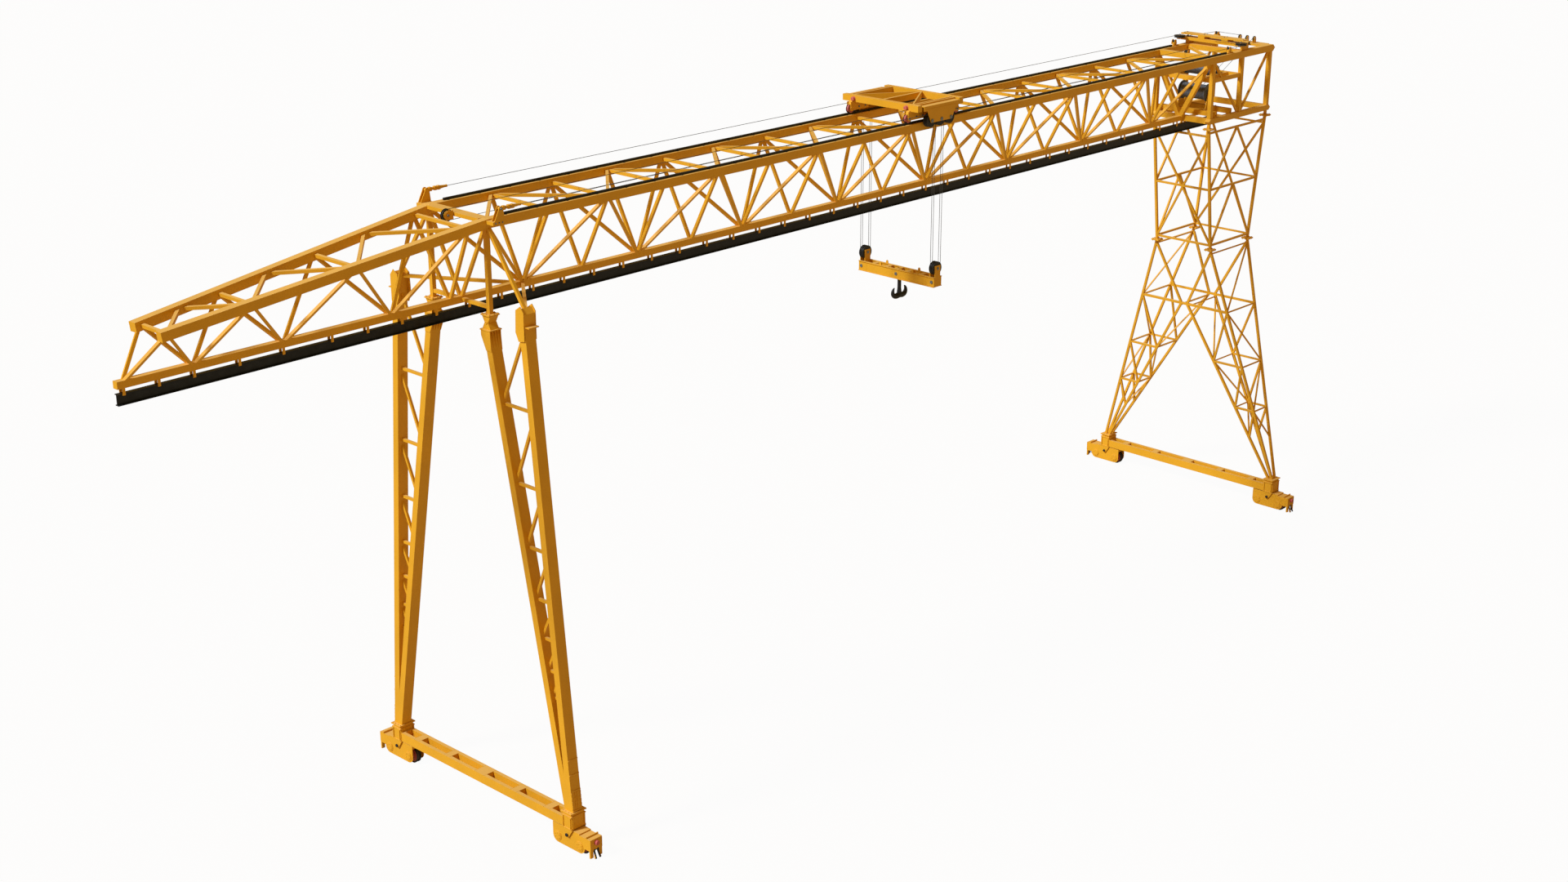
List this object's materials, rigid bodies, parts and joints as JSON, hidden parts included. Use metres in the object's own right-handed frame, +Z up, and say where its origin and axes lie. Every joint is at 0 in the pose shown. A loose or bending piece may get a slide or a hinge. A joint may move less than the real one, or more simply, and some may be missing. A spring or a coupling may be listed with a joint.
{
  "type": "truss gantry crane",
  "caption": "Rail-mounted truss gantry crane with a cantilever nose, a hinged leg, a rigid lattice tower, a rope-driven trolley and a monorail below the girder.",
  "frame": {"origin": "on the floor, halfway along and across the crane", "axes": "+X from the tip of the nose to the tower end, +Y to the far side, +Z up"},
  "size_m": [38.553, 7.73, 14.422],
  "materials": {
    "yellow_paint": "satin chrome-yellow paint",
    "wheel_steel": "dark flanges with a red painted disc",
    "dark_steel": "black paint, worn at the grooves",
    "rail_steel": "dark rolled steel",
    "rope": "greased wire rope"
  },
  "bodies": {
    "crane": {"bottom_chord": "yellow_paint", "deck_sheaves": "dark_steel", "girder_side_far": "yellow_paint", "girder_side_near": "yellow_paint", "house_braces": "yellow_paint", "house_cross_beams": "yellow_paint", "house_frame": "yellow_paint", "knee_frame": "yellow_paint", "leg_columns": "yellow_paint", "leg_heads": "yellow_paint", "leg_lacing": "yellow_paint", "leg_struts": "yellow_paint", "monorail_beam": "rail_steel", "monorail_hangers": "yellow_paint", "nose_sides": "yellow_paint", "rope_anchors": "yellow_paint", "rope_deck": "yellow_paint", "running_ropes": "rope", "saddles": "yellow_paint", "sill_beams": "yellow_paint", "top_bracing": "yellow_paint", "top_chords": "yellow_paint", "tower_chords": "yellow_paint", "tower_flanges": "yellow_paint", "tower_leg_ties": "yellow_paint", "tower_portals": "yellow_paint", "tower_upper_faces": "yellow_paint", "trolley_rails": "rail_steel", "winch_frames": "yellow_paint"},
    "trolley": {"trolley_frame": "yellow_paint", "trolley_side_plates": "yellow_paint", "trolley_sheaves": "dark_steel"},
    "hook_beam": {"hook_beam": "yellow_paint", "rope_falls": "rope"},
    "hook": {"hook": "dark_steel"},
    "hook_sheave_near": {"hook_beam_sheave_near": "dark_steel"},
    "hook_sheave_far": {"hook_beam_sheave_far": "dark_steel"},
    "hoist_drum": {"hoist_drum": "dark_steel"},
    "haulage_drum": {"haulage_drum": "dark_steel"},
    "return_sheave": {"return_sheave": "dark_steel"},
    "bogie_leg_near": {"bogie_leg_near": "yellow_paint"},
    "wheel_leg_near_inner": {"wheel_leg_near_inner": "wheel_steel"},
    "wheel_leg_near_outer": {"wheel_leg_near_outer": "wheel_steel"},
    "bogie_leg_far": {"bogie_leg_far": "yellow_paint"},
    "wheel_leg_far_inner": {"wheel_leg_far_inner": "wheel_steel"},
    "wheel_leg_far_outer": {"wheel_leg_far_outer": "wheel_steel"},
    "bogie_tower_near": {"bogie_tower_near": "yellow_paint"},
    "wheel_tower_near_inner": {"wheel_tower_near_inner": "wheel_steel"},
    "wheel_tower_near_outer": {"wheel_tower_near_outer": "wheel_steel"},
    "bogie_tower_far": {"bogie_tower_far": "yellow_paint"},
    "wheel_tower_far_inner": {"wheel_tower_far_inner": "wheel_steel"},
    "wheel_tower_far_outer": {"wheel_tower_far_outer": "wheel_steel"},
    "trolley_wheel_left_near": {"trolley_wheel_left_near": "wheel_steel"},
    "trolley_wheel_left_far": {"trolley_wheel_left_far": "wheel_steel"},
    "trolley_wheel_right_near": {"trolley_wheel_right_near": "wheel_steel"},
    "trolley_wheel_right_far": {"trolley_wheel_right_far": "wheel_steel"}
  },
  "joints": [
    {"name": "bogie_rock_leg_near", "type": "hinge", "parent": "crane", "child": "bogie_leg_near", "pos_m": [-11.0665, -3.074, 0.38], "axis": [1, 0, 0], "range_deg": [-1.5, 1.5]},
    {"name": "wheel_leg_near_inner_turn", "type": "hinge", "parent": "bogie_leg_near", "child": "wheel_leg_near_inner", "pos_m": [-11.0665, -2.714, 0.21], "axis": [1, 0, 0], "continuous": true},
    {"name": "wheel_leg_near_outer_turn", "type": "hinge", "parent": "bogie_leg_near", "child": "wheel_leg_near_outer", "pos_m": [-11.0665, -3.434, 0.21], "axis": [1, 0, 0], "continuous": true},
    {"name": "bogie_rock_leg_far", "type": "hinge", "parent": "crane", "child": "bogie_leg_far", "pos_m": [-11.0665, 3.074, 0.38], "axis": [1, 0, 0], "range_deg": [-1.5, 1.5]},
    {"name": "wheel_leg_far_inner_turn", "type": "hinge", "parent": "bogie_leg_far", "child": "wheel_leg_far_inner", "pos_m": [-11.0665, 2.714, 0.21], "axis": [1, 0, 0], "continuous": true},
    {"name": "wheel_leg_far_outer_turn", "type": "hinge", "parent": "bogie_leg_far", "child": "wheel_leg_far_outer", "pos_m": [-11.0665, 3.434, 0.21], "axis": [1, 0, 0], "continuous": true},
    {"name": "bogie_rock_tower_near", "type": "hinge", "parent": "crane", "child": "bogie_tower_near", "pos_m": [17.6155, -3.074, 0.38], "axis": [1, 0, 0], "range_deg": [-1.5, 1.5]},
    {"name": "wheel_tower_near_inner_turn", "type": "hinge", "parent": "bogie_tower_near", "child": "wheel_tower_near_inner", "pos_m": [17.6155, -2.714, 0.21], "axis": [1, 0, 0], "continuous": true},
    {"name": "wheel_tower_near_outer_turn", "type": "hinge", "parent": "bogie_tower_near", "child": "wheel_tower_near_outer", "pos_m": [17.6155, -3.434, 0.21], "axis": [1, 0, 0], "continuous": true},
    {"name": "bogie_rock_tower_far", "type": "hinge", "parent": "crane", "child": "bogie_tower_far", "pos_m": [17.6155, 3.074, 0.38], "axis": [1, 0, 0], "range_deg": [-1.5, 1.5]},
    {"name": "wheel_tower_far_inner_turn", "type": "hinge", "parent": "bogie_tower_far", "child": "wheel_tower_far_inner", "pos_m": [17.6155, 2.714, 0.21], "axis": [1, 0, 0], "continuous": true},
    {"name": "wheel_tower_far_outer_turn", "type": "hinge", "parent": "bogie_tower_far", "child": "wheel_tower_far_outer", "pos_m": [17.6155, 3.434, 0.21], "axis": [1, 0, 0], "continuous": true},
    {"name": "trolley_travel", "type": "slide", "parent": "crane", "child": "trolley", "axis": [1, 0, 0], "range_m": [-12.6, 12.2]},
    {"name": "trolley_wheel_left_near_turn", "type": "hinge", "parent": "trolley", "child": "trolley_wheel_left_near", "pos_m": [2.3505, -0.957, 14.085], "axis": [0, 1, 0], "continuous": true},
    {"name": "trolley_wheel_left_far_turn", "type": "hinge", "parent": "trolley", "child": "trolley_wheel_left_far", "pos_m": [2.3505, 0.957, 14.085], "axis": [0, 1, 0], "continuous": true},
    {"name": "trolley_wheel_right_near_turn", "type": "hinge", "parent": "trolley", "child": "trolley_wheel_right_near", "pos_m": [4.2165, -0.957, 14.085], "axis": [0, 1, 0], "continuous": true},
    {"name": "trolley_wheel_right_far_turn", "type": "hinge", "parent": "trolley", "child": "trolley_wheel_right_far", "pos_m": [4.2165, 0.957, 14.085], "axis": [0, 1, 0], "continuous": true},
    {"name": "hoist_lift", "type": "slide", "parent": "trolley", "child": "hook_beam", "axis": [0, 0, 1], "range_m": [-8.2, 1.5], "deforming": ["rope_falls"]},
    {"name": "hook_swivel", "type": "hinge", "parent": "hook_beam", "child": "hook", "pos_m": [3.2835, 0, 9.5], "axis": [0, 0, 1], "continuous": true},
    {"name": "hook_sheave_near_turn", "type": "hinge", "parent": "hook_beam", "child": "hook_sheave_near", "pos_m": [3.2835, -1.198, 10.117], "axis": [0, 1, 0], "continuous": true},
    {"name": "hook_sheave_far_turn", "type": "hinge", "parent": "hook_beam", "child": "hook_sheave_far", "pos_m": [3.2835, 1.198, 10.117], "axis": [0, 1, 0], "continuous": true},
    {"name": "hoist_drum_turn", "type": "hinge", "parent": "crane", "child": "hoist_drum", "pos_m": [16.7335, 0, 12.7195], "axis": [0, 1, 0], "continuous": true},
    {"name": "haulage_drum_turn", "type": "hinge", "parent": "crane", "child": "haulage_drum", "pos_m": [16.9835, 0, 13.33601], "axis": [0, 1, 0], "continuous": true},
    {"name": "return_sheave_turn", "type": "hinge", "parent": "crane", "child": "return_sheave", "pos_m": [-11.3415, 0, 13.89], "axis": [0, 1, 0], "continuous": true}
  ]
}
